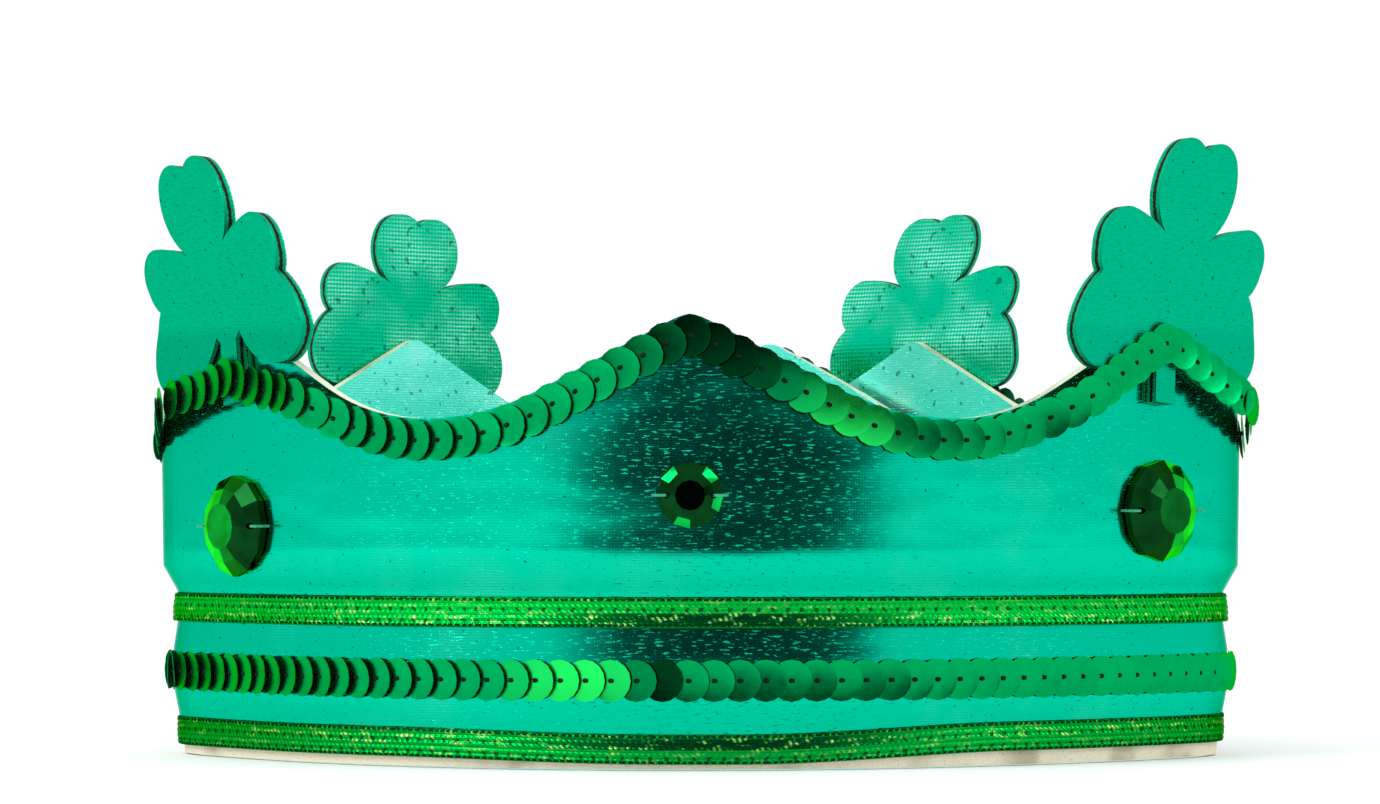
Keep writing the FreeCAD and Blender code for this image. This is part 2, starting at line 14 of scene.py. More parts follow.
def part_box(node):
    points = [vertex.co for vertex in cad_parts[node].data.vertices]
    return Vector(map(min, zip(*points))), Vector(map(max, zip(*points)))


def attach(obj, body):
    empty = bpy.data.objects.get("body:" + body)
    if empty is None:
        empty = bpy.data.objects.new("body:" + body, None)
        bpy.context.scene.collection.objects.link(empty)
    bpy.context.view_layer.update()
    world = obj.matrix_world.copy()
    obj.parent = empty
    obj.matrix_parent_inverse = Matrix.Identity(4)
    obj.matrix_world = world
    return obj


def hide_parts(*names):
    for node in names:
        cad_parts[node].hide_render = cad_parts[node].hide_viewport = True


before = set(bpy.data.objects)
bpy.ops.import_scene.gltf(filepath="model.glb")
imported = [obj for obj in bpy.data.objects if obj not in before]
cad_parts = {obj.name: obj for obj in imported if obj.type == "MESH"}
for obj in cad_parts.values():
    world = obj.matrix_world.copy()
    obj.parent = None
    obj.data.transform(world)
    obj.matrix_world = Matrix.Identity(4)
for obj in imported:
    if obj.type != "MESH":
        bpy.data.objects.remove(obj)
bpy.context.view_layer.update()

LOG = logging.getLogger("crown")
MM = 0.001
BODY = "root"
BLACK = (0.0, 0.0, 0.0, 1.0)
SAME_PLACE = 0.002 * MM
SOFT_ANGLE = 35.0
LIFT_START = 8 * MM
LIFT_REACH = 52 * MM
LIFT_LEFT = 0.9 * MM
LIFT_RIGHT = 1.8 * MM


class Slot(Enum):
    """Material slots of the crown's pieces that scene.py adds."""

    OUTER_FOIL = "outer_foil"
    INNER_FOIL = "inner_foil"
    FOAM = "foam"
    BRAID = "braid"
    SEQUIN = "sequin"
    GEM = "gem"
    THREAD = "thread"


class Signal:
    """One value in a shader, which plain arithmetic turns into Math nodes."""

    def __init__(self, shader: "Shader", socket: bpy.types.NodeSocket) -> None:
        """Keeps the shader that the value belongs to and its socket."""
        self.shader = shader
        self.socket = socket

    def _with(self, operation: str, *values: "Signal | float") -> "Signal":
        """Result of one Math node."""
        return self.shader.math(operation, *values)

    def __add__(self, other: "Signal | float") -> "Signal":
        """Sum."""
        return self._with("ADD", self, other)

    def __radd__(self, other: float) -> "Signal":
        """Sum with a number first."""
        return self._with("ADD", other, self)

    def __sub__(self, other: "Signal | float") -> "Signal":
        """Difference."""
        return self._with("SUBTRACT", self, other)

    def __rsub__(self, other: float) -> "Signal":
        """Difference from a number."""
        return self._with("SUBTRACT", other, self)

    def __mul__(self, other: "Signal | float") -> "Signal":
        """Product."""
        return self._with("MULTIPLY", self, other)

    def sine(self) -> "Signal":
        """Sine of the value in radians."""
        return self._with("SINE", self)

    def wave(self) -> "Signal":
        """Sine of the value in radians, moved to lie between 0 and 1."""
        return self.sine() * 0.5 + 0.5

    def fraction(self) -> "Signal":
        """What is left past the whole number."""
        return self._with("FRACT", self)

    def most(self, other: "Signal | float") -> "Signal":
        """The larger of two values."""
        return self._with("MAXIMUM", self, other)

    def size(self) -> "Signal":
        """The value without its sign."""
        return self._with("ABSOLUTE", self)

    def step(self, low: float, high: float) -> "Signal":
        """Rises smoothly with the value.

        Args:
            low: Where the result is still 0.
            high: Where the result has come to 1.

        Returns:
            The result, from 0 to 1.
        """
        settings = {"interpolation_type": "SMOOTHSTEP"}
        values = {"Value": self, "From Min": low, "From Max": high}
        node = self.shader.node("ShaderNodeMapRange", settings, values)
        return Signal(self.shader, node.outputs["Result"])


class Shader:
    """Builds one procedural material."""

    def __init__(self, name: str) -> None:
        """Makes an empty material with this name."""
        self.material = bpy.data.materials.new(name)
        self.material.use_nodes = True
        self.tree = self.material.node_tree
        self.tree.nodes.clear()

    def node(self, kind: str, settings: dict, values: dict) -> bpy.types.Node:
        """Adds a node.

        Args:
            kind: The node's type name.
            settings: Properties, set before the sockets.
            values: Numbers, colours, sockets or signals by input name or number.

        Returns:
            The new node.
        """
        node = self.tree.nodes.new(kind)
        for key, value in settings.items():
            setattr(node, key, value)
        for key, value in values.items():
            if isinstance(value, Signal):
                value = value.socket
            if isinstance(value, bpy.types.NodeSocket):
                self.tree.links.new(value, node.inputs[key])
            else:
                node.inputs[key].default_value = value
        return node

    def math(self, operation: str, *values: "Signal | float") -> Signal:
        """Result of a Math node on these values."""
        node = self.node("ShaderNodeMath", {"operation": operation}, dict(enumerate(values)))
        return Signal(self, node.outputs[0])

    def place(self) -> bpy.types.NodeSocket:
        """Object coordinates, in metres in the crown's frame."""
        return self.node("ShaderNodeTexCoord", {}, {}).outputs["Object"]

    def attribute(self, name: str) -> Signal:
        """A number stored on the mesh."""
        node = self.node("ShaderNodeAttribute", {"attribute_name": name}, {})
        return Signal(self, node.outputs["Fac"])

    def parts(self, vector: bpy.types.NodeSocket) -> tuple[Signal, ...]:
        """The three numbers of a vector."""
        node = self.node("ShaderNodeSeparateXYZ", {}, {0: vector})
        return tuple(Signal(self, output) for output in node.outputs)

    def vector(
        self, x: "Signal | float", y: "Signal | float", z: "Signal | float"
    ) -> bpy.types.NodeSocket:
        """A vector from three values."""
        return self.node("ShaderNodeCombineXYZ", {}, {0: x, 1: y, 2: z}).outputs[0]

    def noise(self, where: bpy.types.NodeSocket, scale: float, detail: float) -> Signal:
        """Smooth noise between 0 and 1, mostly near the middle.

        Args:
            where: The place that it is read at.
            scale: How many lumps there are to one unit of length.
            detail: How many finer layers are added.

        Returns:
            The noise at each place.
        """
        values = {"Vector": where, "Scale": scale, "Detail": detail}
        node = self.node("ShaderNodeTexNoise", {}, values)
        return Signal(self, node.outputs["Fac"])

    def stretched_noise(self, x: Signal, y: Signal, scales: tuple, detail: float) -> Signal:
        """Noise over two values that each have a scale of their own."""
        return self.noise(self.vector(x * scales[0], y * scales[1], 0.0), 1.0, detail)

    def mix(self, share: "Signal | float", first: tuple, second: tuple) -> bpy.types.NodeSocket:
        """Blend of two colours or colour sockets, all of the second at a share of 1."""
        settings = {"data_type": "RGBA"}
        node = self.node("ShaderNodeMix", settings, {0: share, 6: first, 7: second})
        return node.outputs[2]

    def shade(self, colour: tuple, strength: "Signal | float") -> bpy.types.NodeSocket:
        """A colour made darker by a strength from 0 to 1."""
        return self.mix(strength, BLACK, colour)

    def bump(
        self, height: Signal, depth: float, normal: bpy.types.NodeSocket | None = None
    ) -> bpy.types.NodeSocket:
        """Roughens the surface.

        Args:
            height: The relief, from 0 to 1.
            depth: How deep the relief is, in metres.
            normal: A normal that is rough already, or None for the plain one.

        Returns:
            The new normal.
        """
        values = {"Height": height, "Distance": depth, "Strength": 1.0}
        if normal is not None:
            values["Normal"] = normal
        return self.node("ShaderNodeBump", {}, values).outputs["Normal"]

    def finish(self, values: dict) -> bpy.types.Material:
        """Closes the material with a principled surface of these inputs."""
        surface = self.node("ShaderNodeBsdfPrincipled", {}, values)
        self.node("ShaderNodeOutputMaterial", {}, {"Surface": surface.outputs[0]})
        return self.material


@dataclass(frozen=True)
class FoilCloth:
    """Metallised cloth: wrinkles, fine weave, rubbed scratches and dark flecks.

    Scales count lumps of noise to the metre, along the cloth and up it. A range holds the two
    values between which a mark fades in. Raised threads in patches are lightened to the pale
    colour: partly wear, partly painted sheen.
    """

    name: str
    colour: tuple
    pale: tuple
    roughness: float
    weave_depth: float
    scratch_depth: float
    wrinkle_depth: float
    pale_share: float
    fleck_start: float = 0.72
    fleck_scale: float = 900.0
    thread_pitch: float = 0.55 * MM
    patch_start: float = 0.5
    streak_share: float = 0.0
    fleck_colour: tuple = (0.0, 0.06, 0.04, 1.0)
    fleck_rise: float = 0.04
    fleck_share: float = 0.6
    patch_scale: float = 45.0
    patch_rise: float = 0.25
    weft_share: float = 0.6
    streak_scales: tuple = (520.0, 2800.0)
    streak_weight: float = 0.9
    streak_range: tuple = (0.45, 0.6)
    scratch_range: tuple = (0.6, 0.8)
    raised_range: tuple = (0.35, 0.85)
    fold_scales: tuple = (26.0, 60.0)
    worn_roughness: float = 0.15
    scratch_roughness: float = 0.05

    def material(self) -> bpy.types.Material:
        """Builds the finish."""
        shader = Shader(self.name)
        along = shader.attribute("along")
        height = shader.parts(shader.place())[2]
        flat = shader.vector(along, height, 0.0)
        turn = 2 * math.pi / self.thread_pitch
        weft = (height * turn).wave() * self.weft_share
        weave = weft + (along * turn).wave() * (1.0 - self.weft_share)
        patches = shader.noise(flat, self.patch_scale, 3.0)
        streaks = shader.stretched_noise(along, height, self.streak_scales, 3.0)
        folds = shader.stretched_noise(along, height, self.fold_scales, 2.0)
        relief = weave + streaks * self.streak_weight - self.streak_weight / 2
        # Raised threads lightened in patches: partly wear, partly painted sheen.
        wear_and_painted_sheen = patches.step(self.patch_start, self.patch_start + self.patch_rise)
        wear_and_painted_sheen = wear_and_painted_sheen * relief.step(*self.raised_range) * self.pale_share
        flecks = shader.noise(flat, self.fleck_scale, 1.0)
        flecks = flecks.step(self.fleck_start, self.fleck_start + self.fleck_rise)
        scratch = streaks.step(*self.scratch_range)
        normal = shader.bump(folds, self.wrinkle_depth)
        normal = shader.bump(scratch, self.scratch_depth, normal)
        normal = shader.bump(weave, self.weave_depth, normal)
        colour = shader.mix(wear_and_painted_sheen, self.colour, self.pale)
        colour = shader.shade(colour, 1.0 - streaks.step(*self.streak_range) * self.streak_share)
        colour = shader.mix(flecks * self.fleck_share, colour, self.fleck_colour)
        sheen_and_wear_roughness = wear_and_painted_sheen * self.worn_roughness
        return shader.finish({
            "Base Color": colour,
            "Metallic": 1.0,
            "Roughness": self.roughness + sheen_and_wear_roughness + scratch * self.scratch_roughness,
            "Specular Tint": self.pale,
            "Normal": normal,
        })


@dataclass(frozen=True)
class SequinFilm:
    """Metallised plastic film.

    The mesh holds each disc's brightness, a random spread times painted light: 1 is plain,
    2 is a painted highlight, 0 is painted black shade.
    """

    name: str
    colour: tuple
    painted_highlight_colour: tuple
    roughness: float
    haze_scale: float = 600.0
    haze_dark: float = 0.85
    haze_share: float = 0.3
    haze_roughness: float = 0.1
    dent_scale: float = 180.0
    dent_depth: float = 0.03 * MM

    def material(self) -> bpy.types.Material:
        """Builds the finish."""
        shader = Shader(self.name)
        tone_and_painted_light = shader.attribute("tone_and_painted_light")
        haze = shader.noise(shader.place(), self.haze_scale, 2.0)
        dents = shader.noise(shader.place(), self.dent_scale, 1.0)
        # Painted highlight colour for discs above 1, painted shade for discs below it.
        painted_lit_colour = shader.mix(tone_and_painted_light - 1.0, self.colour, self.painted_highlight_colour)
        return shader.finish({
            "Base Color": shader.shade(painted_lit_colour, tone_and_painted_light * (self.haze_dark + haze * self.haze_share)),
            "Metallic": 1.0,
            "Roughness": self.roughness + haze * self.haze_roughness,
            "Specular Tint": self.painted_highlight_colour,
            "Normal": shader.bump(dents, self.dent_depth),
        })


@dataclass(frozen=True)
class BraidWeave:
    """Woven metallic tape: slanted stitches on lengthwise ribs, dark stitching along both edges.

    Places across the tape are shares of its width from its lower edge. The seams' places are
    shares of half its width from its middle. Rates count marks to one stitch. Its grooves and a
    strip of its front are darkened with painted shade and painted reflection, and its glints are
    painted highlights.
    """

    name: str
    colour: tuple
    glint: tuple
    ribs: int
    pitch: float
    mirror_low: float
    mirror_high: float
    mirror_fade: float = 0.04
    mirror_polish: float = 0.2
    mirror_gap: tuple = (0.5, 0.62)
    roughness: float = 0.42
    slant: float = 0.5
    uneven_rate: float = 0.35
    seam_inner: tuple = (0.74, 0.80)
    seam_outer: tuple = (0.92, 0.98)
    dash_rate: float = 0.8
    dash_drift: float = 1.5
    dash_range: tuple = (0.22, 0.32)
    dot_rate: float = 0.42
    dot_drift: float = 0.8
    dot_rows: float = 0.5
    dot_length: tuple = (0.1, 0.18)
    dot_height: tuple = (0.14, 0.22)
    dot_share: float = 0.85
    groove_end: float = 0.45
    groove_share: float = 0.4
    glint_range: tuple = (0.52, 0.7)
    glint_share: float = 0.35
    mirror_glint: float = 0.5
    dark_stitching_and_painted_shade: tuple = (0.0, 0.02, 0.008, 1.0)
    dark_stitching_and_painted_shade_share: float = 0.94
    rib_depth: float = 0.22 * MM

    def material(self, length: float) -> bpy.types.Material:
        """Builds the finish.

        Args:
            length: The tape's length in metres.

        Returns:
            The new material.
        """
        shader = Shader(self.name)
        parts = shader.parts(shader.node("ShaderNodeUVMap", {}, {}).outputs["UV"])
        along = parts[0] * (length / self.pitch)
        up = parts[1]
        row = up * self.ribs
        stitch = ((along + row * self.slant) * math.pi * 2).wave()
        rib = (row.fraction() * math.pi).sine()
        uneven = shader.stretched_noise(along, row, (self.uneven_rate, 1.0), 3.0)
        edge = (up - 0.5).size() * 2.0
        seam = edge.step(*self.seam_inner) * (1.0 - edge.step(*self.seam_outer))
        dashes = (along * self.dash_rate + uneven * self.dash_drift).fraction()
        dot_along = (along * self.dot_rate + uneven * self.dot_drift).fraction() - 0.5
        dot_up = (row * self.dot_rows).fraction() - 0.5
        dots = 1.0 - dot_along.size().step(*self.dot_length)
        dots = dots * (1.0 - dot_up.size().step(*self.dot_height))
        # Painted shade in the grooves between the ribs.
        grooves = 1.0 - rib.step(0.0, self.groove_end)
        mirror = up.step(self.mirror_low - self.mirror_fade, self.mirror_low)
        mirror = mirror * (1.0 - up.step(self.mirror_high, self.mirror_high + self.mirror_fade))
        # Dark stitching and dots are the tape's own colour; grooves and the strip below are painted
        # shade.
        dark_stitching_and_painted_shade = (seam * dashes.step(*self.dash_range)).most(dots * self.dot_share)
        dark_stitching_and_painted_shade = dark_stitching_and_painted_shade.most(grooves * self.groove_share)
        # Painted reflection of the dark card on the polished strip.
        painted_card_reflection = mirror * shader.attribute("shade")
        dark_stitching_and_painted_shade = dark_stitching_and_painted_shade.most(painted_card_reflection * (1.0 - uneven.step(*self.mirror_gap) * stitch))
        # Painted highlights on the stitches.
        glints = uneven.step(*self.glint_range) * stitch
        glints = glints * (self.glint_share + mirror * self.mirror_glint)
        colour = shader.mix(glints, self.colour, self.glint)
        return shader.finish({
            "Base Color": shader.mix(dark_stitching_and_painted_shade * self.dark_stitching_and_painted_shade_share, colour, self.dark_stitching_and_painted_shade),
            "Metallic": 1.0,
            "Roughness": self.roughness - mirror * self.mirror_polish,
            "Specular Tint": self.colour,
            "Normal": shader.bump(rib * (0.5 + stitch * 0.5), self.rib_depth),
        })


@dataclass(frozen=True)
class CutFoam:
    """Cut edge of cream foam: open cells with painted shade in their pits, and brown rubbed stains.
    """

    name: str
    colour: tuple
    stain: tuple
    pit_shade_colour: tuple = (0.1, 0.09, 0.06, 1.0)
    roughness: float = 0.9
    cell_scale: float = 2600.0
    cell_depth: float = 0.25 * MM
    stain_scale: float = 60.0
    stain_range: tuple = (0.5, 0.68)
    stain_share: float = 0.7
    pit_range: tuple = (0.62, 0.75)
    pit_share: float = 0.6

    def material(self) -> bpy.types.Material:
        """Builds the finish."""
        shader = Shader(self.name)
        cells = shader.noise(shader.place(), self.cell_scale, 3.0)
        stains = shader.noise(shader.place(), self.stain_scale, 3.0)
        stains = stains.step(*self.stain_range) * self.stain_share
        # Painted shade in the open cells' pits.
        painted_pit_shade = cells.step(*self.pit_range) * self.pit_share
        colour = shader.mix(stains, self.colour, self.stain)
        return shader.finish({
            "Base Color": shader.mix(painted_pit_shade, colour, self.pit_shade_colour),
            "Roughness": self.roughness,
            "Normal": shader.bump(cells, self.cell_depth),
        })


@dataclass(frozen=True)
class PinchedEdge:
    """Cut edge of a shamrock: cloth pulled over it from both sides, a dark frayed line between.

    The mesh holds the layer: 0 at the face's cloth, 1 at the back's.
    """

    name: str
    colour: tuple
    line: tuple
    line_layer: float = 0.65
    line_range: tuple = (0.14, 0.26)
    fray_scale: float = 1500.0
    fray_share: float = 0.3
    fray_depth: float = 0.2 * MM
    metallic: float = 0.6
    roughness: float = 0.5

    def material(self) -> bpy.types.Material:
        """Builds the finish."""
        shader = Shader(self.name)
        fray = shader.noise(shader.place(), self.fray_scale, 2.0)
        off_line = shader.attribute("layer") + fray * self.fray_share - self.line_layer
        cloth = off_line.size().step(*self.line_range)
        return shader.finish({
            "Base Color": shader.mix(cloth, self.line, self.colour),
            "Metallic": self.metallic,
            "Roughness": self.roughness,
            "Specular Tint": self.colour,
            "Normal": shader.bump(fray, self.fray_depth),
        })


@dataclass(frozen=True)
class CutStone:
    """Moulded green acrylic with a mirror behind it. The mesh holds each facet's painted
    reflection.
    """

    name: str
    colour: tuple
    depth_scale: float = 220.0
    depth_range: tuple = (0.3, 0.7)
    depth_share: float = 0.4
    dent_depth: float = 0.12 * MM
    roughness: float = 0.07
    coat: float = 0.06
    coat_roughness: float = 0.03

    def material(self) -> bpy.types.Material:
        """Builds the finish."""
        shader = Shader(self.name)
        depth = shader.noise(shader.place(), self.depth_scale, 1.0)
        light = (1.0 - self.depth_share) + depth.step(*self.depth_range) * self.depth_share
        # Each facet's painted reflection darkens or lightens the stone.
        return shader.finish({
            "Base Color": shader.shade(self.colour, shader.attribute("facet") * light),
            "Metallic": 1.0,
            "Roughness": self.roughness,
            "Specular Tint": self.colour,
            "Normal": shader.bump(depth, self.dent_depth),
            "Coat Weight": self.coat,
            "Coat Roughness": self.coat_roughness,
        })


@dataclass(frozen=True)
class PlainFibre:
    """Thread or fuzzy tape in one colour with fine fibres."""

    name: str
    colour: tuple
    grain: float
    dark: float = 0.6
    fibre_share: float = 0.6
    fibre_depth: float = 0.1 * MM
    gloss: float = 0.15
    roughness: float = 0.75

    def material(self) -> bpy.types.Material:
        """Builds the finish."""
        shader = Shader(self.name)
        fibre = shader.noise(shader.place(), self.grain, 3.0)
        return shader.finish({
            "Base Color": shader.shade(self.colour, self.dark + fibre * self.fibre_share),
            "Specular IOR Level": self.gloss,
            "Roughness": self.roughness,
            "Normal": shader.bump(fibre, self.fibre_depth),
        })


OUTER_CLOTH = FoilCloth(
    name="outer_foil_cloth", colour=(0.0, 0.49, 0.3, 1.0), pale=(0.05, 0.6, 0.42, 1.0),
    roughness=0.17, weave_depth=0.004 * MM, scratch_depth=0.075 * MM, wrinkle_depth=0.6 * MM,
    pale_share=0.5,
)
# Same foil as the outer face: its paler colour and near-white pale threads are painted highlight.
INNER_CLOTH = FoilCloth(
    name="inner_foil_cloth", colour=(0.2, 0.92, 0.8, 1.0), pale=(0.9, 1.0, 0.98, 1.0),
    roughness=0.3, weave_depth=0.015 * MM, scratch_depth=0.14 * MM, wrinkle_depth=0.6 * MM,
    pale_share=0.9, fleck_start=0.68, fleck_scale=500.0,
)
SHAMROCK_CLOTH = FoilCloth(
    name="shamrock_foil_cloth", colour=(0.0, 0.4, 0.21, 1.0), pale=(0.03, 0.5, 0.32, 1.0),
    roughness=0.36, weave_depth=0.02 * MM, scratch_depth=0.05 * MM, wrinkle_depth=0.8 * MM,
    pale_share=0.4, fleck_start=0.69, streak_share=0.09,
)
# The pale thread dots over most of this cloth are painted glints.
WOVEN_CLOTH = FoilCloth(
    name="shamrock_woven_cloth", colour=(0.0, 0.47, 0.25, 1.0), pale=(0.4, 0.95, 0.8, 1.0),
    roughness=0.26, weave_depth=0.05 * MM, scratch_depth=0.16 * MM, wrinkle_depth=0.8 * MM,
    pale_share=0.7, fleck_start=0.66, fleck_scale=420.0, thread_pitch=0.85 * MM, patch_start=0.4,
)
SEQUIN_FILM = SequinFilm(
    name="sequin_film", colour=(0.0, 0.34, 0.09, 1.0), painted_highlight_colour=(0.02, 0.95, 0.12, 1.0), roughness=0.22
)
HEM_WEAVE = BraidWeave(
    name="hem_braid_weave", colour=(0.0, 0.34, 0.04, 1.0), glint=(0.6, 0.9, 0.2, 1.0),
    ribs=5, pitch=1.15 * MM, mirror_low=0.5, mirror_high=0.86,
)
UPPER_WEAVE = BraidWeave(
    name="upper_braid_weave", colour=(0.0, 0.44, 0.045, 1.0), glint=(0.7, 0.95, 0.3, 1.0),
    ribs=5, pitch=1.15 * MM, mirror_low=0.06, mirror_high=0.46,
)
CREAM_FOAM = CutFoam(
    name="cream_foam", colour=(0.78, 0.72, 0.56, 1.0), stain=(0.36, 0.3, 0.2, 1.0)
)
LEAF_EDGE = PinchedEdge(
    name="leaf_edge", colour=(0.0, 0.36, 0.19, 1.0), line=(0.02, 0.014, 0.006, 1.0)
)
GREEN_STONE = CutStone(name="green_stone", colour=(0.0, 0.95, 0.13, 1.0))
PALE_THREAD = PlainFibre(name="pale_thread", colour=(0.04, 0.34, 0.2, 1.0), grain=3000.0)
DARK_THREAD = PlainFibre(name="dark_thread", colour=(0.0, 0.012, 0.006, 1.0), grain=3000.0)
# Dark backs of the sequins: painted shade in the gaps under the discs' raised edges.
SHADED_SEQUIN_BACK = PlainFibre(name="sequin_back_painted_shade", colour=(0.0, 0.11, 0.05, 1.0), grain=1500.0)
HOOK_FUZZ = PlainFibre(name="closing_tape_fuzz", colour=(0.02, 0.12, 0.06, 1.0), grain=1800.0)


def only(piece: bpy.types.Object) -> None:
    """Selects and activates one object alone."""
    bpy.ops.object.select_all(action="DESELECT")
    piece.select_set(True)
    bpy.context.view_layer.objects.active = piece


def edit_all(piece: bpy.types.Object) -> None:
    """Enters edit mode on one object with its whole mesh selected."""
    only(piece)
    bpy.ops.object.mode_set(mode="EDIT")
    bpy.ops.mesh.select_all(action="SELECT")


def dress(piece: bpy.types.Object, material: bpy.types.Material) -> None:
    """Gives the whole piece one material."""
    piece.data.materials.clear()
    piece.data.materials.append(material)
    piece.data.polygons.foreach_set("material_index", [0] * len(piece.data.polygons))


def settle(piece: bpy.types.Object, slot: Slot, *nodes: str) -> bpy.types.Object:
    """Ties a finished piece to the crown.

    Args:
        piece: The finished object.
        slot: Not used.
        nodes: The nodes that it stands for.

    Returns:
        The same object.
    """
    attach(piece, BODY)
    if nodes:
        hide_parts(*nodes)
    LOG.info("%s: %d faces", piece.name, len(piece.data.polygons))
    return piece


def select_faces(
    piece: bpy.types.Object, wanted: Callable[[bpy.types.MeshPolygon], bool]
) -> None:
    """Enters edit mode on one object with only the faces that pass a test selected."""
    only(piece)
    bpy.ops.object.mode_set(mode="EDIT")
    bpy.ops.mesh.select_mode(type="FACE")
    bpy.ops.mesh.select_all(action="DESELECT")
    bpy.ops.object.mode_set(mode="OBJECT")
    for face in piece.data.polygons:
        face.select = wanted(face)
    bpy.ops.object.mode_set(mode="EDIT")


def merged_copy(node: str, name: str, angle: float = SOFT_ANGLE) -> bpy.types.Object:
    """Copies a node with its loose triangles joined into one skin, smooth up to an angle.

    Args:
        node: The node to copy.
        name: The new object's name.
        angle: The sharpest edge that is shaded smooth, in degrees.

    Returns:
        The new object.
    """
    piece = bpy.data.objects.new(name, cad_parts[node].data.copy())
    bpy.context.scene.collection.objects.link(piece)
    only(piece)
    if piece.data.has_custom_normals:
        bpy.ops.mesh.customdata_custom_splitnormals_clear()
    edit_all(piece)
    bpy.ops.mesh.remove_doubles(threshold=SAME_PLACE)
    bpy.ops.object.mode_set(mode="OBJECT")
    bpy.ops.object.shade_smooth_by_angle(angle=math.radians(angle))
    return piece


def points_of(piece: bpy.types.Object) -> np.ndarray:
    """Places of a mesh's vertices."""
    flat = np.zeros(len(piece.data.vertices) * 3)
    piece.data.vertices.foreach_get("co", flat)
    return flat.reshape(-1, 3)


def store(piece: bpy.types.Object, name: str, values: np.ndarray) -> None:
    """Stores one number for each vertex under a name that a material reads."""
    layer = piece.data.attributes.new(name, "FLOAT", "POINT")
    layer.data.foreach_set("value", np.asarray(values, dtype=np.float32))


def tree_of(node: str) -> BVHTree:
    """Search tree of a node's faces."""
    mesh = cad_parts[node].data
    faces = [tuple(face.vertices) for face in mesh.polygons]
    return BVHTree.FromPolygons([vertex.co for vertex in mesh.vertices], faces)


class WallPath:
    """Line round the outside of a node at one height, from one end of the lap to the other."""

    ray_count: int = 2400
    far: float = 300 * MM
    block_size: int = 2000

    def __init__(self, node: str, height: float, start_ray: int | None = None) -> None:
        """Finds the line with rays that come in from outside.

        Args:
            node: The node to follow.
            height: The line's height in metres.
            start_ray: The ray that the line starts from, or None for the one at the lap, where
                the wall's distance from the middle changes most.
        """
        tree = tree_of(node)
        points = []
        for number in range(self.ray_count):
            angle = 2 * math.pi * number / self.ray_count
            way = Vector((math.cos(angle), math.sin(angle), 0.0))
            hit = tree.ray_cast(way * self.far + Vector((0.0, 0.0, height)), -way, self.far)[0]
            points.append(hit if hit is not None else points[-1])
        line = np.array([tuple(point) for point in points])
        reach = np.linalg.norm(line[:, :2], axis=1)
        steps = np.abs(reach - np.roll(reach, 1))
        self.start_ray = int(np.argmax(steps)) if start_ray is None else start_ray
        self.points = np.roll(line, -self.start_ray, axis=0)
        runs = np.linalg.norm(np.diff(self.points[:, :2], axis=0), axis=1)
        self.run = np.concatenate([[0.0], np.cumsum(runs)])
        self.length = float(self.run[-1])

    def at(self, share: np.ndarray) -> np.ndarray:
        """Points at shares of the length, from 0 to 1."""
        where = np.asarray(share) * self.length
        columns = [np.interp(where, self.run, self.points[:, axis]) for axis in range(3)]
        return np.stack(columns, axis=-1)

    def distance(self, points: np.ndarray) -> np.ndarray:
        """Distance along the line of the place nearest to each point."""
        found = []
        for block in np.array_split(points[:, :2], max(len(points) // self.block_size, 1)):
            gaps = ((block[:, None, :] - self.points[None, :, :2]) ** 2).sum(axis=2)
            found.append(self.run[np.argmin(gaps, axis=1)])
        return np.concatenate(found)


def cut_level(piece: bpy.types.Object, heights: tuple) -> None:
    """Cuts level lines through a piece, so that its shading turns only near its creases."""
    edit_all(piece)
    for height in heights:
        bpy.ops.mesh.select_all(action="SELECT")
        bpy.ops.mesh.bisect(plane_co=(0.0, 0.0, height), plane_no=(0.0, 0.0, 1.0))
    bpy.ops.object.mode_set(mode="OBJECT")


def hem_lift(places: np.ndarray) -> np.ndarray:
    """How far the hem's tape and cloth ride up from the foam's edge at the sides of the crown."""
    side = np.clip((np.abs(places[:, 0]) - LIFT_START) / LIFT_REACH, 0.0, 1.0)
    return side**2 * (3 - 2 * side) * np.where(places[:, 0] < 0, LIFT_LEFT, LIFT_RIGHT)


@dataclass
class Band:
    """The faced foam strip that goes round the head.

    The part of the outer cloth below loose_edge rides up with the hem's tape.
    """

    belly_height: float = 50 * MM
    crease_rows: tuple = (8 * MM, 14 * MM, 24 * MM, 34.5 * MM, 42 * MM, 54 * MM, 66 * MM)
    loose_edge: float = 2 * MM

    def build(self) -> None:
        """Dresses the foam and the closing patches and lays smooth foil over both faces."""
        path = WallPath("band_outer_foil", self.belly_height)
        layers = (
            ("band_outer_foil", "outer_foil_wall", OUTER_CLOTH, Slot.OUTER_FOIL),
            ("band_inner_foil", "inner_foil_wall", INNER_CLOTH, Slot.INNER_FOIL),
        )
        for node, name, cloth, slot in layers:
            piece = merged_copy(node, name)
            cut_level(piece, self.crease_rows)
            places = points_of(piece)
            store(piece, "along", path.distance(places))
            if slot is Slot.OUTER_FOIL:
                places[:, 2] += np.where(places[:, 2] < self.loose_edge, hem_lift(places), 0.0)
                piece.data.vertices.foreach_set("co", places.ravel())
            dress(piece, cloth.material())
            settle(piece, slot, node)
        dress(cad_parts["band_foam"], CREAM_FOAM.material())
        for node in ("hook_patch", "loop_patch"):
            dress(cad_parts[node], HOOK_FUZZ.material())


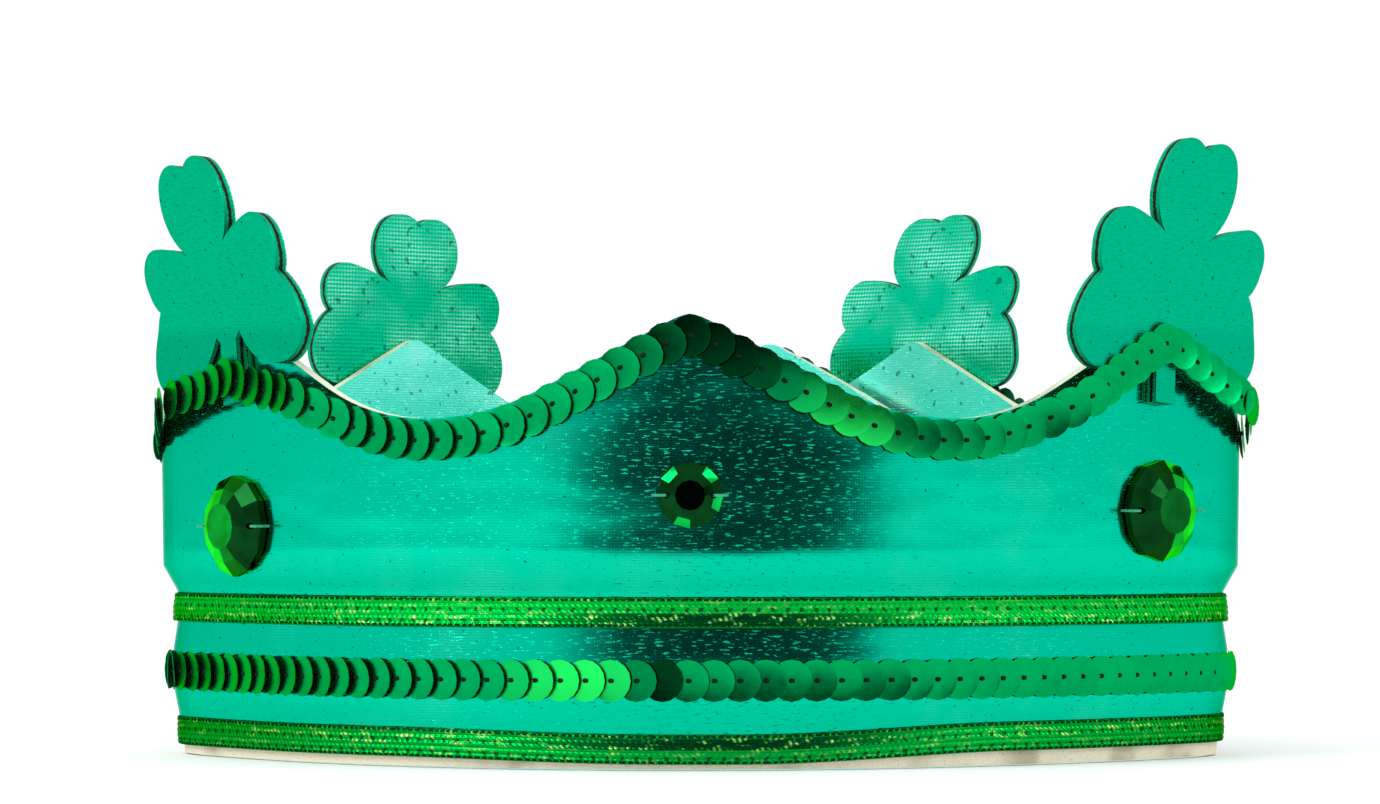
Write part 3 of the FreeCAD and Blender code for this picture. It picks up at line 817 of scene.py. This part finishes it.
@dataclass
class Shamrocks:
    """The four shamrocks of faced foam that stand on the peaks."""

    names: tuple = ("left", "right", "rear_left", "rear_right")
    thinnest: float = 0.01 * MM

    def build(self) -> None:
        """Dresses each shamrock's cut edge and lays foil on its two sides."""
        face = SHAMROCK_CLOTH.material()
        back = WOVEN_CLOTH.material()
        edge = LEAF_EDGE.material()
        for name in self.names:
            node = "shamrock_" + name
            core = merged_copy(node, node + "_core")
            layers = [tree_of(node + side) for side in ("_face", "_back")]
            gaps = np.array([
                [tree.find_nearest(vertex.co)[3] for tree in layers]
                for vertex in core.data.vertices
            ])
            store(core, "layer", gaps[:, 0] / np.maximum(gaps.sum(axis=1), self.thinnest))
            dress(core, edge)
            settle(core, Slot.FOAM, node)
            sides = (("_face", face, Slot.OUTER_FOIL), ("_back", back, Slot.INNER_FOIL))
            for suffix, cloth, slot in sides:
                piece = merged_copy(node + suffix, node + suffix + "_foil")
                points = points_of(piece)
                middle = points.mean(axis=0)
                sideways = np.array([-middle[1], middle[0]]) / np.hypot(middle[0], middle[1])
                store(piece, "along", (points[:, :2] - middle[:2]) @ sideways)
                dress(piece, cloth)
                settle(piece, slot, node + suffix)


@dataclass
class Braid:
    """A woven tape sewn round the band.

    The shade_ values say where a painted reflection of the dark card darkens its front.
    """

    node: str
    name: str
    weave: BraidWeave
    at_hem: bool
    along_steps: int = 420
    up_steps: int = 20
    edge_inset: float = 0.1 * MM
    look_ahead: float = 0.002
    rib_depth: float = 0.16 * MM
    rib_power: float = 0.6
    thickness: float = 0.45 * MM
    lean: float = 0.7 * MM
    lean_start: float = 0.4
    lift_push: float = 0.08
    soft_angle: float = 60.0
    shade_x: float = 4 * MM
    shade_reach: float = 34 * MM

    def build(self) -> None:
        """Lays a ribbed tape where the plain one is."""
        low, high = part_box(self.node)
        path_low = WallPath(self.node, low.z + self.edge_inset)
        path_high = WallPath(self.node, high.z - self.edge_inset, path_low.start_ray)
        bpy.ops.object.select_all(action="DESELECT")
        bpy.ops.mesh.primitive_grid_add(
            x_subdivisions=self.along_steps, y_subdivisions=self.up_steps, size=2, calc_uvs=True
        )
        piece = bpy.context.active_object
        piece.name = self.name
        flat = points_of(piece)
        share = (flat[:, 0] + 1) / 2
        up = (flat[:, 1] + 1) / 2
        bottom = path_low.at(share)
        top = path_high.at(share)
        place = bottom + (top - bottom) * up[:, None]
        place[:, 2] = low.z + (high.z - low.z) * up
        after = path_low.at(np.clip(share + self.look_ahead, 0, 1))
        ahead = after - path_low.at(np.clip(share - self.look_ahead, 0, 1))
        outward = np.stack([ahead[:, 1], -ahead[:, 0], np.zeros(len(ahead))], axis=1)
        outward /= np.linalg.norm(outward, axis=1)[:, None]
        ribs = np.abs(np.sin(math.pi * up * self.weave.ribs)) ** self.rib_power
        depth = (ribs - 1.0) * self.rib_depth - self.lean * np.maximum(up - self.lean_start, 0.0)
        place += outward * depth[:, None]
        if self.at_hem:
            lift = hem_lift(place)
            place[:, 2] += lift
            place += outward * (lift * self.lift_push)[:, None]
        piece.data.vertices.foreach_set("co", place.ravel())
        # Painted reflection of the dark card, strongest at the front's middle.
        shade = np.exp(-(((place[:, 0] - self.shade_x) / self.shade_reach) ** 4))
        store(piece, "shade", np.where(place[:, 1] < 0, shade, 0.0))
        only(piece)
        solid = piece.modifiers.new("thickness", "SOLIDIFY")
        solid.thickness = self.thickness
        solid.offset = -1.0
        bpy.ops.object.modifier_apply(modifier=solid.name)
        bpy.ops.object.shade_smooth_by_angle(angle=math.radians(self.soft_angle))
        dress(piece, self.weave.material(path_low.length))
        settle(piece, Slot.BRAID, self.node)


@dataclass
class SequinString:
    """Overlapping flat sequins held by a thread through their holes.

    Discs of one group at the front get a painted highlight and those of another get painted
    shade; the values below say where and how strongly.
    """

    node: str
    name: str
    seed: int
    painted_highlight_x: float
    painted_shade_x: float
    painted_shade_reach: float
    painted_highlight_reach: float = 11 * MM
    painted_highlight_gain: float = 0.75
    painted_shade_loss: float = 0.9
    tones: tuple = (0.9, 1.0)
    sway: float = 1.6
    nod: float = 1.2
    sides: int = 16
    hole_radius: float = 0.55 * MM
    flat_radius: float = 3.1 * MM
    rim_radius: float = 4.0 * MM
    rim_rise: float = 0.14 * MM
    film: float = 0.12 * MM
    flat_facing: float = 0.5
    soft_angle: float = 30.0
    thread_radius: float = 0.26 * MM
    thread_segments: tuple = (10, 5)
    stitch_radius: float = 0.45 * MM
    stitch_stretch: tuple = (1.0, 1.6, 0.55)
    stitch_shift: tuple = (0.1 * MM, 0.0, -0.05 * MM)

    def disc(self, film: bpy.types.Material, back: bpy.types.Material) -> bpy.types.Object:
        """Makes one sequin at the origin, facing up, with a raised rim and an open hole.

        Args:
            film: The material of its face, rim and edge.
            back: The material of its back, dark as painted shade.

        Returns:
            The sequin.
        """
        bpy.ops.object.select_all(action="DESELECT")
        bpy.ops.mesh.primitive_cylinder_add(
            vertices=self.sides, radius=self.rim_radius, depth=self.film,
            location=(0.0, 0.0, self.rim_rise),
        )
        piece = bpy.context.active_object
        bpy.ops.object.transform_apply(location=True, rotation=True, scale=True)
        select_faces(piece, lambda face: abs(face.normal.z) > self.flat_facing)
        bpy.ops.mesh.inset(thickness=self.rim_radius - self.flat_radius, use_individual=True)
        bpy.ops.transform.translate(value=(0.0, 0.0, -self.rim_rise))
        bpy.ops.mesh.inset(thickness=self.flat_radius - self.hole_radius, use_individual=True)
        bpy.ops.mesh.bridge_edge_loops(number_cuts=0, interpolation="LINEAR")
        bpy.ops.mesh.select_mode(type="VERT")
        bpy.ops.object.mode_set(mode="OBJECT")
        bpy.ops.object.shade_smooth_by_angle(angle=math.radians(self.soft_angle))
        for material in (film, back):
            piece.data.materials.append(material)
        for face in piece.data.polygons:
            face.material_index = 1 if face.normal.z < -self.flat_facing else 0
        return piece

    def stitch(self) -> bpy.types.Object:
        """One upright loop of thread through a hole at the origin."""
        bpy.ops.object.select_all(action="DESELECT")
        bpy.ops.mesh.primitive_torus_add(
            major_segments=self.thread_segments[0], minor_segments=self.thread_segments[1],
            major_radius=self.stitch_radius, minor_radius=self.thread_radius,
            rotation=(math.pi / 2, 0.0, 0.0),
        )
        piece = bpy.context.active_object
        bpy.ops.object.transform_apply(location=True, rotation=True, scale=True)
        edit_all(piece)
        bpy.ops.transform.resize(value=self.stitch_stretch, center_override=(0.0, 0.0, 0.0))
        bpy.ops.transform.translate(value=self.stitch_shift)
        bpy.ops.object.mode_set(mode="OBJECT")
        bpy.ops.object.shade_smooth()
        return piece

    def places(self) -> list[tuple[Vector, Vector, Vector]]:
        """Centre, facing and direction of each plain disc, in order along the string."""
        copy = merged_copy(self.node, self.name + "_guide")
        edit_all(copy)
        bpy.ops.mesh.separate(type="LOOSE")
        bpy.ops.object.mode_set(mode="OBJECT")
        discs = list(bpy.context.selected_objects)
        low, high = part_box("hem_braid")
        path = WallPath("hem_braid", (low.z + high.z) / 2)
        clouds = [points_of(disc) for disc in discs]
        for disc in discs:
            bpy.data.objects.remove(disc)
        centres = np.array([cloud.mean(axis=0) for cloud in clouds])
        order = np.argsort(path.distance(centres))
        centres = centres[order]
        found = []
        for rank, index in enumerate(order):
            cloud = clouds[index] - centres[rank]
            axis = np.linalg.svd(cloud, full_matrices=False)[2][2]
            if axis[:2] @ centres[rank][:2] < 0:
                axis = -axis
            before = centres[max(rank - 1, 0)]
            after = centres[min(rank + 1, len(centres) - 1)]
            ahead = after - before
            ahead -= axis * (ahead @ axis)
            found.append((Vector(centres[rank]), Vector(axis), Vector(ahead).normalized()))
        return found

    def light(self, centre: Vector) -> float:
        """Painted light of the disc at this place. Every disc at the back is plain."""
        if centre.y > 0:
            return 1.0
        painted_highlight = math.exp(-(((centre.x - self.painted_highlight_x) / self.painted_highlight_reach) ** 2))
        painted_shade = math.exp(-(((centre.x - self.painted_shade_x) / self.painted_shade_reach) ** 4))
        return (1.0 + self.painted_highlight_gain * painted_highlight) * (1.0 - self.painted_shade_loss * painted_shade)

    def build(self) -> None:
        """Strings detailed sequins where the plain ones are."""
        places = self.places()
        dice = random.Random(self.seed)
        discs = []
        loops = []
        disc = self.disc(SEQUIN_FILM.material(), SHADED_SEQUIN_BACK.material())
        patterns = ((disc, discs), (self.stitch(), loops))
        for centre, axis, ahead in places:
            side = axis.cross(ahead)
            turn = Matrix((ahead, side, axis)).transposed().to_4x4()
            sway = Matrix.Rotation(math.radians(dice.gauss(0, self.sway)), 4, "X")
            nod = Matrix.Rotation(math.radians(dice.gauss(0, self.nod)), 4, "Y")
            move = Matrix.Translation(centre) @ turn @ sway @ nod
            # A random spread of shades times the disc's painted light.
            tone_and_painted_light = dice.uniform(*self.tones) * self.light(centre)
            for pattern, group in patterns:
                mesh = pattern.data.copy()
                mesh.transform(move)
                copy = bpy.data.objects.new(self.name, mesh)
                bpy.context.scene.collection.objects.link(copy)
                store(copy, "tone_and_painted_light", np.full(len(mesh.vertices), tone_and_painted_light))
                group.append(copy)
        for pattern, _ in patterns:
            bpy.data.objects.remove(pattern)
        settle(self.joined(discs, self.name), Slot.SEQUIN, self.node)
        thread = self.joined(loops, self.name + "_thread")
        dress(thread, DARK_THREAD.material())
        settle(thread, Slot.THREAD)

    def joined(self, copies: list, name: str) -> bpy.types.Object:
        """Joins copies into one object with a name."""
        bpy.ops.object.select_all(action="DESELECT")
        for copy in copies:
            copy.select_set(True)
        bpy.context.view_layer.objects.active = copies[0]
        bpy.ops.object.join()
        copies[0].name = name
        return copies[0]


@dataclass
class Gems:
    """Sewn stones and the thread that holds them.

    A stone's facets carry painted reflection: dark toward the crown's front and bright away from
    it. The front stone has a painted highlight on a facet in every third of the ten sectors round
    it.
    """

    nodes: tuple = (
        "front_gem", "left_gem", "right_gem", "rear_left_gem", "rear_right_gem", "back_gem"
    )
    sector: float = 36.0
    bright_every: int = 3
    slope: tuple = (0.2, 0.9)
    dark: float = 0.05
    front_painted_highlight: float = 0.6
    side_painted_highlight: float = 0.75
    side_start: float = -0.4
    side_rise: float = 0.3
    front_width: float = 0.2
    flat_angle: float = 1.0

    def tones(self, piece: bpy.types.Object) -> list[float]:
        """Painted reflection on each facet of one stone: how bright it is drawn."""
        middle = points_of(piece).mean(axis=0)
        outward = Vector((middle[0], middle[1], 0.0)).normalized()
        away = Vector((-outward.y, outward.x, 0.0))
        if away.y < 0:
            away = -away
        at_front = abs(outward.x) < self.front_width and outward.y < 0
        found = []
        for face in piece.data.polygons:
            lean = face.normal @ away
            if at_front:
                sector = round(math.atan2(face.normal.z, lean) / math.radians(self.sector))
                sloped = self.slope[0] < face.normal @ outward < self.slope[1]
                bright = sloped and sector % self.bright_every == 1
                found.append(self.front_painted_highlight if bright else self.dark)
            else:
                share = min(max((lean - self.side_start) / self.side_rise, 0.0), 1.0)
                found.append(self.dark + self.side_painted_highlight * share)
        return found

    def build(self) -> None:
        """Dresses the stones and their stitches."""
        stone = GREEN_STONE.material()
        for node in self.nodes:
            piece = merged_copy(node, node + "_stone", self.flat_angle)
            # Painted reflection on each facet.
            layer = piece.data.attributes.new("facet", "FLOAT", "FACE")
            layer.data.foreach_set("value", self.tones(piece))
            dress(piece, stone)
            settle(piece, Slot.GEM, node)
        dress(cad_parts["gem_stitches"], PALE_THREAD.material())


@dataclass(frozen=True)
class Lamp:
    """A soft square lamp: where it hangs, how wide it is and its power."""

    name: str
    place: tuple
    size: float
    watts: float


@dataclass
class Studio:
    """Pale floor, soft light, a dark card that only the foil mirrors and the camera itself.

    The picture's sizes, the horizon's row and the focal length are in the photograph's pixels.
    """

    picture_width: float = 1380.0
    picture_height: float = 804.0
    focal_pixels: float = 4938.0
    camera_distance: float = 930 * MM
    camera_height: float = 46 * MM
    horizon_row: float = 526.0
    sensor: float = 36.0
    card_left: float = 165 * MM
    card_right: float = 260 * MM
    card_middle: float = 62 * MM
    card_height: float = 165 * MM
    card_distance: float = 200 * MM
    card_colour: tuple = (0.003, 0.01, 0.01, 1.0)
    card_roughness: float = 0.9
    card_fade: tuple = (0.25, 1.0)
    floor_size: float = 12.0
    floor_gap: float = 0.3 * MM
    floor_colour: tuple = (0.98, 0.98, 0.98, 1.0)
    floor_roughness: float = 0.8
    front_swell: float = 1.5 * MM
    view_end: float = 50.0
    world_colour: tuple = (1.0, 1.0, 1.0, 1.0)
    world_strength: float = 1.04
    lamp_aim: float = 50 * MM
    lamps: tuple = (
        Lamp("key_lamp", (-0.9, -0.7, 0.9), 0.7, 9.0),
        Lamp("fill_lamp", (1.0, -0.4, 0.7), 0.5, 2.5),
    )

    def floor(self) -> None:
        """Lays a wide pale matt floor just under the crown."""
        bpy.ops.object.select_all(action="DESELECT")
        bpy.ops.mesh.primitive_plane_add(
            size=self.floor_size, location=(0.0, 0.0, -self.floor_gap)
        )
        floor = bpy.context.active_object
        floor.name = "floor"
        values = {"Base Color": self.floor_colour, "Roughness": self.floor_roughness}
        dress(floor, Shader("pale_floor").finish(values))

    def card_cloth(self) -> bpy.types.Material:
        """Dark cloth that thins out toward an oval edge."""
        shader = Shader("dark_card_cloth")
        parts = shader.parts(shader.place())
        across = parts[0] * 2.0
        upright = parts[1] * 2.0
        reach = across * across + upright * upright
        return shader.finish({
            "Base Color": self.card_colour,
            "Roughness": self.card_roughness,
            "Alpha": 1.0 - reach.step(*self.card_fade),
        })

    def card(self, lens: Vector) -> None:
        """Stands a card between lens and crown that the foil mirrors and the camera doesn't see."""
        width = self.card_left + self.card_right
        middle = lens.x + (self.card_right - self.card_left) / 2
        depth = lens.y + self.camera_distance - self.card_distance
        bpy.ops.object.select_all(action="DESELECT")
        bpy.ops.mesh.primitive_plane_add(
            size=1.0, location=(middle, depth, self.card_middle),
            rotation=(math.pi / 2, 0.0, 0.0),
        )
        card = bpy.context.active_object
        card.name = "dark_card"
        card.scale = (width, self.card_height, 1.0)
        card.visible_camera = False
        card.visible_diffuse = False
        card.visible_shadow = False
        dress(card, self.card_cloth())

    def lights(self) -> None:
        """Sets a bright room and the soft lamps."""
        world = bpy.data.worlds.new("bright_room")
        bpy.context.scene.world = world
        world.use_nodes = True
        background = world.node_tree.nodes["Background"]
        background.inputs["Color"].default_value = self.world_colour
        background.inputs["Strength"].default_value = self.world_strength
        for lamp in self.lamps:
            light = bpy.data.lights.new(lamp.name, "AREA")
            light.size = lamp.size
            light.energy = lamp.watts
            holder = bpy.data.objects.new(lamp.name, light)
            holder.location = lamp.place
            aim = Vector((0.0, 0.0, self.lamp_aim)) - Vector(lamp.place)
            holder.rotation_euler = aim.to_track_quat("-Z", "Y").to_euler()
            bpy.context.scene.collection.objects.link(holder)

    def build(self) -> None:
        """Builds the set and points the camera at the crown's front."""
        low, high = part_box("front_gem")
        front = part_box("band_outer_foil")[0].y + self.front_swell
        lens = Vector(((low.x + high.x) / 2, front - self.camera_distance, self.camera_height))
        self.floor()
        self.card(lens)
        self.lights()
        view = bpy.data.cameras.new("camera")
        view.sensor_width = self.sensor
        view.lens = self.focal_pixels * self.sensor / self.picture_width
        view.shift_y = (self.horizon_row - self.picture_height / 2) / self.picture_width
        view.clip_end = self.view_end
        camera = bpy.data.objects.new("camera", view)
        camera.location = lens
        camera.rotation_euler = (math.pi / 2, 0.0, 0.0)
        bpy.context.scene.collection.objects.link(camera)
        bpy.context.scene.camera = camera
        bpy.context.scene.view_settings.view_transform = "Standard"


def main() -> None:
    """Builds the crown's pieces in order."""
    logging.basicConfig(level=logging.INFO, format="%(name)s %(message)s")
    Studio().build()
    Band().build()
    Shamrocks().build()
    Braid("hem_braid", "hem_braid_woven", HEM_WEAVE, at_hem=True).build()
    Braid("upper_braid", "upper_braid_woven", UPPER_WEAVE, at_hem=False).build()
    SequinString(
        "crest_sequins", "crest_sequins_strung", seed=11,
        painted_highlight_x=27 * MM, painted_shade_x=2.5 * MM, painted_shade_reach=14 * MM,
    ).build()
    SequinString(
        "band_sequins", "band_sequins_strung", seed=12,
        painted_highlight_x=-24 * MM, painted_shade_x=-8.6 * MM, painted_shade_reach=4.5 * MM,
    ).build()
    Gems().build()


if __name__ == "__main__":
    main()
